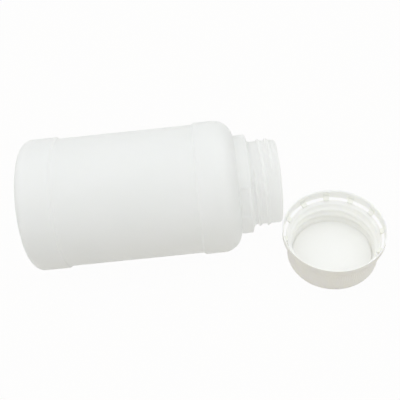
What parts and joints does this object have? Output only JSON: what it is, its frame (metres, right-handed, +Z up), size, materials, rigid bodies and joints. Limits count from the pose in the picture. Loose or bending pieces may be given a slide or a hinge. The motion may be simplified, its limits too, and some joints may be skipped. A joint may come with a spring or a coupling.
{
  "type": "reagent bottle",
  "caption": "Wide-mouth plastic reagent bottle lying on its side, with its screw cap, sealing disc and tamper ring set down beside the open mouth.",
  "frame": {"origin": "on the surface that the bottle and the cap rest on, below the middle of the whole", "axes": "+X along the bottle's axis from the base towards the mouth, +Z up"},
  "size_m": [0.2064, 0.098, 0.078],
  "materials": {
    "bottle_plastic": "blow-moulded natural polyethylene, milky and translucent, fine satin surface",
    "cap_plastic": "injection-moulded white polyethylene, satin",
    "liner_foam": "foamed polyethylene sheet, punched to a disc, smooth and matt"
  },
  "bodies": {
    "bottle": {"bottle_body": "bottle_plastic"},
    "liner": {"cap_liner": "liner_foam"},
    "cap": {"screw_cap": "cap_plastic"},
    "band": {"tamper_band": "cap_plastic", "band_bridges": "cap_plastic"}
  },
  "joints": [
    {"name": "cap_lift", "type": "slide", "parent": "bottle", "child": "liner", "axis": [0.6, 0, 0.8], "range_m": [0, 0.09]},
    {"name": "cap_turn", "type": "hinge", "parent": "liner", "child": "cap", "pos_m": [0.07322, -0.01903, 0], "axis": [0, 0, 1], "continuous": true},
    {"name": "band_release", "type": "slide", "parent": "cap", "child": "band", "axis": [0, 0, 1], "range_m": [0, 0.0022]}
  ]
}
